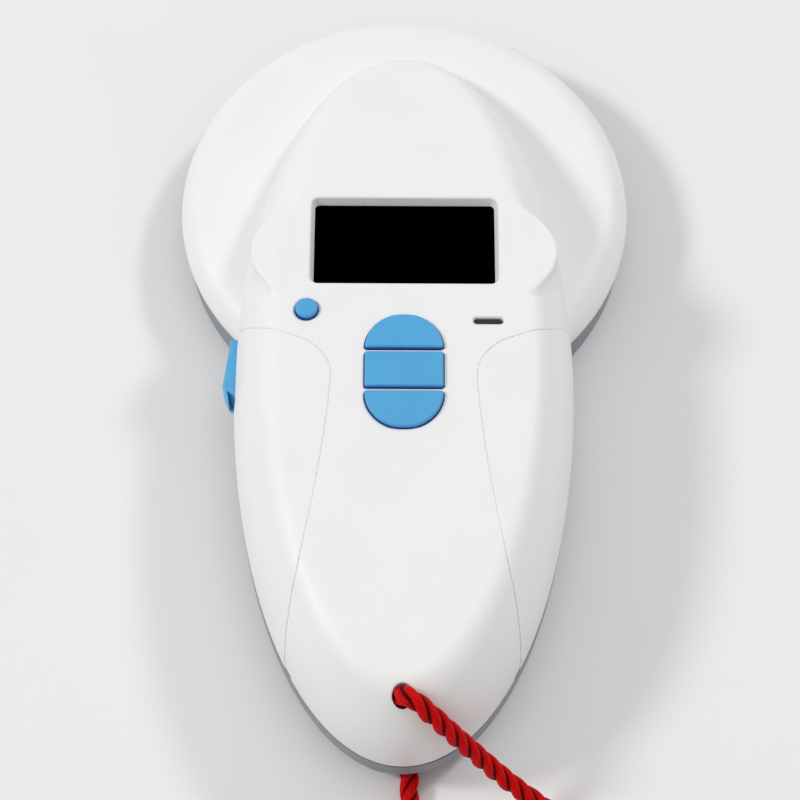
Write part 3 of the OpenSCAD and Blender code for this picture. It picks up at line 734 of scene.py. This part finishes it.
def top_cover(x, y, z):
    d, edge_y = oval_plan(x, y)
    width = round_width(edge_y)
    top = crown(y)
    oval = turned_side(d, width, z - SHOULDER_Z, top - SHOULDER_Z)
    head = turned_side(np.hypot(x, y - head_y) - head_r, RIM_W, z - HEAD_TOP + RIM_H, RIM_H)
    pod_plan = ellipse(x, y - POD_Y, POD_A, POD_B)[0]
    pod = meet(pod_plan - POD_DRAFT * (top - z), z - top, POD_EDGE)
    outer = join(join(head, oval, DOME_FILLET), pod, POD_FILLET * clamp01((d + width) / 3))
    under_pod = np.maximum(pod_plan + WALL, np.maximum(z - ceiling_z, POD_FLOOR_Z - z))
    cavity = np.minimum(np.minimum(head, oval) + WALL, under_pod)
    skin = meet(np.maximum(meet(outer, upper_z - z, PARTING_EDGE), parting_step(outer, z)), -cavity, 0.4)
    bosses = post(x, y, (0, HOLE_Y), HOLE_BOSS_R)
    for place in CASE_SCREWS:
        bosses = np.minimum(bosses, post(x, y, place, THREAD_BOSS_R))
    for place in BOARD_POSTS:
        bosses = np.minimum(bosses, np.maximum(post(x, y, place, POST_R), board_top - z))
    for low_z, high_z in LUG_SPANS:
        bosses = np.minimum(bosses, block(x, y, z, (-33.2, -3, low_z), (-28.4, 2, high_z)))
    bosses = np.maximum(np.maximum(bosses, upper_z - z), np.minimum(head, oval) + 1.3)
    shell = join(skin, bosses, 0.4)
    seams = grip_plan(x, y)
    shell = cut(shell, np.maximum(seams, -(oval + GRIP_T)), SEAM_EDGE)
    shell = np.maximum(shell, seam_slope(oval, seams))
    flare = WINDOW_FLARE * np.maximum(z - ceiling_z, 0) / WALL
    window = rounded_rect(x, y - window_y, window_l, window_w, 0.8) - flare
    shell = cut(shell, window * 0.94, WINDOW_EDGE)
    for low_y, high_y in KEY_SPANS.values():
        opening = key_plan(x, y, low_y, high_y, KEY_GAP)
        shell = cut(shell, np.maximum(opening, OPENING_Z - z), 0.14)
    chamfer = np.clip(z - crown_z + CHAMFER, 0, 0.6)
    button = post(x, y, power_xy, power_r + KEY_GAP) - chamfer
    shell = cut(shell, np.maximum(button * 0.8, OPENING_Z - z), 0.12)
    slit = rounded_rect(x - lens_xy[0], y - lens_xy[1], SLOT_L, SLOT_W, SLOT_W / 2 - 0.01)
    shell = cut(shell, np.maximum((slit - chamfer * 0.8) * 0.8, OPENING_Z - z), 0.12)
    for place in CASE_SCREWS:
        shell = cut(shell, np.maximum(post(x, y, place, THREAD_R), z - THREAD_TOP), 0.1)
    for place in BOARD_POSTS:
        shell = cut(shell, np.maximum(post(x, y, place, POST_HOLE_R), z - ceiling_z), 0.1)
    shell = cut(shell, post(x, y, (0, MOUTH_Y), MOUTH_R), 0.2)
    notch_low = (GRIP_END[0] - 4, GRIP_END[1] - NOTCH_BACK, upper_z - 1)
    notch_high = (OVAL_B, GRIP_END[1] + NOTCH_FRONT, upper_z + NOTCH_H)
    notch = block(np.abs(x), y, z, notch_low, notch_high)
    shell = cut(shell, np.maximum(notch, -(oval + GRIP_T)), 0.2)
    return cut(shell, trigger_slot(x, y, z), 0.2)


def grip(x, y, z, side):
    oval = oval_upper(x, y, z)
    pod_plan = ellipse(x, y - POD_Y, POD_A, POD_B)[0]
    plan = np.maximum(grip_plan(x, y), -side * x) - SEAM_LAP
    plan = meet(plan, -(pod_plan - POD_DRAFT * (crown(y) - z)) + 0.1, 0.2)
    panel = meet(meet(oval, -(oval + GRIP_T), 0.1), plan, SEAM_EDGE)
    panel = np.maximum(panel, seam_slope(oval, -plan))
    return np.maximum(meet(panel, upper_z - z, PARTING_EDGE), parting_step(oval, z))


def grip_left(x, y, z):
    panel = cut(grip(x, y, z, -1), trigger_slot(x, y, z), 0.3)
    across, up = BEVEL_TOP[0] - BEVEL_FOOT[0], BEVEL_TOP[1] - BEVEL_FOOT[1]
    facet = ((x - BEVEL_FOOT[0]) * up - (z - BEVEL_FOOT[1]) * across) / math.hypot(across, up)
    bevel = meet(facet, np.maximum(trigger_slot_y[0] + 0.4 - y, y - trigger_slot_y[1] + 0.2), 0.2)
    return cut(panel, np.maximum(bevel, BEVEL_FOOT[1] - 0.2 - z), 0.2)


def grip_right(x, y, z):
    return grip(x, y, z, 1)


def lower_outer(x, y, z):
    d, _ = oval_plan(x, y)
    oval = turned_side(d, BELLY_ROUND, BELLY_SHOULDER_Z - z, BELLY_SHOULDER_Z - belly(y))
    tub = np.hypot(x, y - head_y) - (head_r - TUB_IN - (lower_z - z) * TUB_DRAFT)
    return meet(tub, -z, TUB_ROUND), oval


def bottom_cover(x, y, z):
    head, oval = lower_outer(x, y, z)
    outer = meet(np.maximum(join(head, oval, 0.8), -z), z - lower_z, PARTING_EDGE)
    cavity = np.minimum(head, oval) + WALL
    shell = cut(outer, cavity, 0.4)
    bosses = np.maximum(post(x, y, (0, HOLE_Y), 6.0), 3 - z)
    bosses = np.minimum(bosses, block(x, y, z, (-6, -90, 3), (6, HOLE_Y, GROOVE_TOP + 1.6)))
    bosses = np.minimum(bosses, block(x, y, z, (-21, -70, 1), (21, -60.4, 4.3)))
    bosses = np.maximum(bosses, oval + 0.4)
    for place in CASE_SCREWS:
        bosses = np.minimum(bosses, np.maximum(post(x, y, place, SCREW_BOSS_R), 1 - z))
    bosses = np.maximum(bosses, z - lower_z)
    shell = join(shell, bosses, 0.3)
    low, high = door_box()
    half = high[0] + DOOR_GAP
    wide = half + RAIL_REACH
    front, back = high[1] + DOOR_GAP, low[1] - DOOR_GAP
    rail_foot, rail_top = RAIL_Z
    pocket = np.minimum(
        block(x, y, z, (-half, back, -1), (half, front, BAY_TOP)),
        block(x, y, z, (-half, back - DOOR_TRAVEL, -1), (half, back + 1, rail_top)))
    for tongue_y in TONGUE_YS:
        rail_back = tongue_y - TONGUE_L / 2 - DOOR_TRAVEL - DOOR_GAP
        rail_front = tongue_y + TONGUE_L / 2 + DOOR_GAP
        rail = block(x, y, z, (-wide, rail_back, rail_foot), (wide, rail_front, rail_top))
        way_in = block(x, y, z, (-wide, rail_back, -1), (wide, tongue_y - 1.6, rail_top))
        pocket = np.minimum(pocket, rail)
        pocket = np.minimum(pocket, way_in)
    shell = cut(shell, pocket, 0.2)
    for place in CASE_SCREWS:
        shell = cut(shell, np.maximum(post(x, y, place, SCREW_HEAD_R), z - SCREW_HEAD_TOP), 0.25)
        shell = cut(shell, post(x, y, place, SCREW_R), 0.1)
    shell = cut(shell, post(x, y, (0, HOLE_Y), HOLE_R), 0.4)
    groove = np.maximum(np.abs(x) - GROOVE_W / 2, y - HOLE_Y)
    groove = np.minimum(groove, post(x, y, (0, HOLE_Y), GROOVE_W / 2))
    return cut(shell, np.maximum(groove, z - GROOVE_TOP), 0.5)


def door_box():
    """The battery door's plate, without its tongues."""
    low, high = box_mm("battery_door")
    return low + (TONGUE_REACH, 0, 0), high - (TONGUE_REACH, 0, 0)


def battery_door(x, y, z):
    low, high = door_box()
    centre = (low + high) / 2
    plate = rounded_rect(x - centre[0], y - centre[1], high[0] - low[0], high[1] - low[1], 1.0)
    door = meet(meet(plate, z - high[2], 0.15), low[2] - z, 0.3)
    for tongue_y in TONGUE_YS:
        tongue_low = (low[0] - TONGUE_REACH, tongue_y - TONGUE_L / 2, TONGUE_Z[0])
        tongue_high = (high[0] + TONGUE_REACH, tongue_y + TONGUE_L / 2, TONGUE_Z[1])
        door = np.minimum(door, block(x, y, z, tongue_low, tongue_high))
    scoop = np.sqrt((x / 9.5) ** 2 + ((y + 55.2) / 4.6) ** 2 + ((z - low[2]) / 0.75) ** 2) - 1
    door = cut(door, scoop * 0.75, 0.25)
    for rib_y in (-57.4, -55.2, -53.0):
        rib = np.maximum(np.abs(y - rib_y) - 0.35, np.abs(x) - 6.2)
        door = np.minimum(door, meet(np.maximum(rib, low[2] - z), z - low[2] - 0.9, 0.2))
    return door


def power_button(x, y, z):
    cap = meet(post(x, y, power_xy, power_r), z - key_top_z, 0.55)
    flange = meet(post(x, y, power_xy, power_r + KEY_FLANGE), z - key_bottom_z - KEY_FLANGE, 0.15)
    return meet(join(cap, flange, 0.1), key_bottom_z - z, 0.1)


def display_window(x, y, z):
    plate = rounded_rect(x, y - window_y, pane_high[0] - pane_low[0], pane_high[1] - pane_low[1], 1.0)
    return meet(meet(plate, z - pane_high[2], 0.15), pane_low[2] - z, 0.15)


def indicator_lens(x, y, z):
    u, v = x - lens_xy[0], y - lens_xy[1]
    pipe = meet(rounded_rect(u, v, 5.6, 1.0, 0.49), z - lens_high[2], 0.15)
    foot = meet(rounded_rect(u, v, 7.4, 3.0, 0.8), z - ceiling_z, 0.1)
    return meet(np.minimum(pipe, foot), lens_low[2] - z, 0.1)


TRIGGER_PIVOT = (-30.4, -0.4)
TRIGGER_OUTLINE = [
    (-30.4, 1.5), (-35.2, 1.5), (-35.8, -3.5), (-36.5, -9.2), (-36.2, -10.2), (-35.2, -12.3), (-33.9, -12.9),
    (-31.4, -12.9), (-31.4, -2.3), (-29.2, -1.8),
]
TRIGGER_NOTCH = [(-35.5, -10.3), (-34.9, -13.5), (-33.2, -13.5), (-33.2, -12)]
NOTCH_FLOOR = 0.9


def polygon(x, y, corners):
    """Distance from a polygon."""
    x, y = np.broadcast_arrays(x, y)
    nearest = np.full(x.shape, 1e9)
    inside = np.zeros(x.shape, bool)
    for (ax, ay), (bx, by) in zip(corners, corners[1:] + corners[:1]):
        ex, ey = bx - ax, by - ay
        px, py = x - ax, y - ay
        t = clamp01((px * ex + py * ey) / (ex * ex + ey * ey))
        nearest = np.minimum(nearest, (px - ex * t) ** 2 + (py - ey * t) ** 2)
        crosses = (ay > y) != (by > y)
        inside ^= crosses & (px < py * ex / (ey if ey else 1e-9))
    return np.where(inside, -np.sqrt(nearest), np.sqrt(nearest))


def trigger_lever(x, y, z):
    z_mid = (trigger_low[2] + trigger_high[2]) / 2
    half = (trigger_high[2] - trigger_low[2]) / 2
    plan = polygon(x, y, TRIGGER_OUTLINE) + 0.35
    plan = np.minimum(plan, post(x, y, TRIGGER_PIVOT, 1.55)) - 0.35
    lever = meet(plan, np.abs(z - z_mid) - half, 0.55)
    notch = np.maximum(polygon(x, y, TRIGGER_NOTCH), trigger_low[2] + NOTCH_FLOOR - z)
    lever = cut(lever, notch, 0.2)
    return cut(lever, post(x, y, TRIGGER_PIVOT, 0.86), 0.1)


# ---------------------------------------------------------------- fields to meshes

CORNERS = [(i, j, k) for i in (0, 1) for j in (0, 1) for k in (0, 1)]


def ticks(low, high, step, fine=None, spans=()):
    """Grid places from low to past high: fine apart inside the spans, and step apart elsewhere."""
    places = [low]
    while places[-1] < high:
        here = places[-1]
        close = any(first <= here < last for first, last in spans)
        places.append(here + (fine if close else step))
    return np.array(places)


def surface_net(field, xs, ys, zs):
    """Points and quads of the surface where field is zero, one point in each grid cell that it crosses."""
    shape = (len(xs), len(ys), len(zs))
    values = field(xs[:, None, None], ys[None, :, None], zs[None, None, :])
    values = np.broadcast_to(values, shape).astype(np.float32)
    inside = values < 0
    count = np.zeros([s - 1 for s in shape], np.uint8)
    for i, j, k in CORNERS:
        count += inside[i:shape[0] - 1 + i, j:shape[1] - 1 + j, k:shape[2] - 1 + k]
    cells = np.argwhere((count > 0) & (count < 8))
    number = np.full(count.shape, -1, np.int64)
    number[tuple(cells.T)] = np.arange(len(cells))
    corner_value, corner_place = [], []
    for i, j, k in CORNERS:
        a, b, c = cells[:, 0] + i, cells[:, 1] + j, cells[:, 2] + k
        corner_value.append(values[a, b, c])
        corner_place.append(np.stack([xs[a], ys[b], zs[c]], axis=1))
    total, hits = np.zeros((len(cells), 3)), np.zeros(len(cells))
    for m in range(8):
        for n in range(m + 1, 8):
            if sum(p != q for p, q in zip(CORNERS[m], CORNERS[n])) != 1:
                continue
            va, vb = corner_value[m].astype(float), corner_value[n].astype(float)
            crosses = (va < 0) != (vb < 0)
            t = np.where(crosses, va / np.where(crosses, va - vb, 1), 0)[:, None]
            total += np.where(crosses[:, None], corner_place[m] * (1 - t) + corner_place[n] * t, 0)
            hits += crosses
    points = total / hits[:, None]
    quads = []
    for axis in range(3):
        b, c = (axis + 1) % 3, (axis + 2) % 3
        near = [slice(1, s - 1) for s in shape]
        near[axis] = slice(0, shape[axis] - 1)
        far = list(near)
        far[axis] = slice(1, shape[axis])
        leaving = inside[tuple(near)] & ~inside[tuple(far)]
        entering = ~inside[tuple(near)] & inside[tuple(far)]
        for edges, flip in ((leaving, False), (entering, True)):
            at = np.argwhere(edges)
            at[:, b] += 1
            at[:, c] += 1
            step_b, step_c = np.eye(3, dtype=int)[b], np.eye(3, dtype=int)[c]
            ring = [at, at - step_b, at - step_b - step_c, at - step_c]
            quad = np.stack([number[tuple(cell.T)] for cell in ring], axis=1)
            quads.append(quad[:, ::-1] if flip else quad)
    return points, np.concatenate(quads)


def slope_of(field, p, reach=0.02):
    """The field at points, and its slope there."""
    here = field(p[:, 0], p[:, 1], p[:, 2])
    slope = np.zeros_like(p)
    for axis in range(3):
        ahead, behind = p.copy(), p.copy()
        ahead[:, axis] += reach
        behind[:, axis] -= reach
        slope[:, axis] = (field(*ahead.T) - field(*behind.T)) / (2 * reach)
    return here, slope


def settle(field, p, furthest, rounds=2):
    """Moves points onto the surface, each by no more than furthest in a round."""
    for _ in range(rounds):
        here, slope = slope_of(field, p)
        steep = np.maximum((slope * slope).sum(1), 0.05)
        move = -here[:, None] * slope / steep[:, None]
        far = np.linalg.norm(move, axis=1)
        p = p + move * (np.minimum(1, furthest / np.maximum(far, 1e-9)))[:, None]
    return p


def sculpt(name, field, node, step, keep=1.0, fine=None, spans=((), (), ())):
    """A closed, smooth mesh of a field, in the space of a CAD node. keep thins its faces where it is flat."""
    low, high = box_mm(node)
    coarse = 1.0
    near = fine * coarse if fine else None
    grid = [
        ticks(low[k] - 0.93 * step, high[k] + 0.97 * step, step * coarse, near, spans[k])
        for k in range(3)
    ]
    points, quads = surface_net(field, *grid)
    points = settle(field, points, 0.4 * (near or step * coarse))
    obj = mesh_object(name, points, quads)
    if keep < 1:
        thin = obj.modifiers.new("thin", "DECIMATE")
        thin.ratio = keep
        mesh = bpy.data.meshes.new_from_object(obj.evaluated_get(bpy.context.evaluated_depsgraph_get()))
        obj.modifiers.clear()
        obj.data = mesh
        mesh.name = name
    points = np.zeros(len(obj.data.vertices) * 3)
    obj.data.vertices.foreach_get("co", points)
    points = points.reshape(-1, 3) / MM
    if keep < 1:
        points = settle(field, points, 0.1, 1)
        obj.data.vertices.foreach_set("co", (points * MM).ravel())
        obj.data.update()
    _, slope = slope_of(field, points)
    normals = slope / np.maximum(np.linalg.norm(slope, axis=1), 1e-9)[:, None]
    obj.data.polygons.foreach_set("use_smooth", [True] * len(obj.data.polygons))
    obj.data.normals_split_custom_set_from_vertices(normals)
    return obj


def make_case():
    x_fine, y_fine, z_fine = ((-35, 35),), ((-86, 32),), ((9, 11.2), (27, 35))
    top = sculpt("top_shell", top_cover, "top_cover", 0.42, 0.3, 0.25, (x_fine, y_fine, z_fine))
    finish_piece(top, "case", "shell_white", materials["shell_white"], "top_cover")
    bottom = sculpt("bottom_shell", bottom_cover, "bottom_cover", 0.42, 0.4)
    finish_piece(bottom, "case", "shell_grey", materials["shell_grey"], "bottom_cover")
    for name, field in (("grip_left", grip_left), ("grip_right", grip_right)):
        panel = sculpt(f"{name}_panel", field, name, 0.25, 0.4)
        finish_piece(panel, "case", "shell_white", materials["shell_white"], name)
    door = sculpt("battery_door_panel", battery_door, "battery_door", 0.3, 0.5)
    finish_piece(door, "battery_door", "shell_grey", materials["shell_grey"], "battery_door")


def make_controls():
    for name, (low_y, high_y) in KEY_SPANS.items():
        key = sculpt(f"{name}_cap", lambda x, y, z: key_solid(x, y, z, low_y, high_y), name, 0.16)
        finish_piece(key, name, "key_blue", materials["key_cap_blue"], name)
    button = sculpt("power_button_cap", power_button, "power_button", 0.14)
    finish_piece(button, "power_button", "key_blue", materials["key_cap_blue"], "power_button")
    # The trigger gets the lighter blue, painted light against its shade.
    lever = sculpt("trigger_blade", trigger_lever, "trigger_lever", 0.18)
    finish_piece(lever, "trigger", "key_blue", materials["key_blue"], "trigger_lever")
    pane = sculpt("display_pane", display_window, "display_window", 0.3, 0.5)
    finish_piece(pane, "case", "window_black", materials["window_black"], "display_window")
    lens = sculpt("indicator_light_pipe", indicator_lens, "indicator_lens", 0.12)
    finish_piece(lens, "case", "lens_smoke", materials["lens_smoke"], "indicator_lens")


def dress_frame():
    """Every CAD node that still shows gets the material of its slot."""
    slots = {part["node"]: part["material_slot"] for part in frame["record"]["subparts"]}
    for name, obj in frame["nodes"].items():
        for index in range(len(obj.material_slots)):
            obj.material_slots[index].link = "OBJECT"
            obj.material_slots[index].material = materials[slots[name]]


make_case()
make_controls()
dress_frame()

# ---------------------------------------------------------------- stage and light


def make_stage():
    n = Nodes("paper")
    place = n.add("ShaderNodeTexCoord").outputs["Object"]
    cloud = n.noise(place, 60, 2)
    n.put(n.shader, "Base Color", n.mix(cloud, linear(233, 233, 233), linear(237, 237, 237)))
    n.put(n.shader, "Roughness", 0.9)
    n.put(n.shader, "Specular IOR Level", 0.1)
    side = 2500
    floor = mesh_object("floor", [(-side, -side, 0), (side, -side, 0), (side, side, 0), (-side, side, 0)],
                        [(0, 1, 2, 3)])
    floor.data.materials.append(n.material)


def soft_light(name, place, target, size, power):
    data = bpy.data.lights.new(name, "AREA")
    data.shape = "DISK"
    data.size = size
    data.energy = power
    lamp = link(bpy.data.objects.new(name, data))
    lamp.location = place
    lamp.rotation_mode = "QUATERNION"
    lamp.rotation_quaternion = (Vector(target) - Vector(place)).to_track_quat("-Z", "Y")


def make_lights():
    soft_light("left_light", (-1.78, 0.0, 1.6), (0, 0, 0.01), 0.44, 21.8)
    soft_light("right_light", (1.33, 1.0, 1.72), (0, 0, 0.01), 0.38, 13.6)
    soft_light("top_light", (0.1, 0.1, 1.3), (0, 0, 0.01), 0.9, 2.1)
    world = bpy.data.worlds.new("world")
    world.use_nodes = True
    world.node_tree.nodes["Background"].inputs[0].default_value = (1, 1, 1, 1)
    world.node_tree.nodes["Background"].inputs[1].default_value = 0.46
    bpy.context.scene.world = world
    bpy.context.scene.view_settings.view_transform = "Standard"


make_stage()
make_lights()
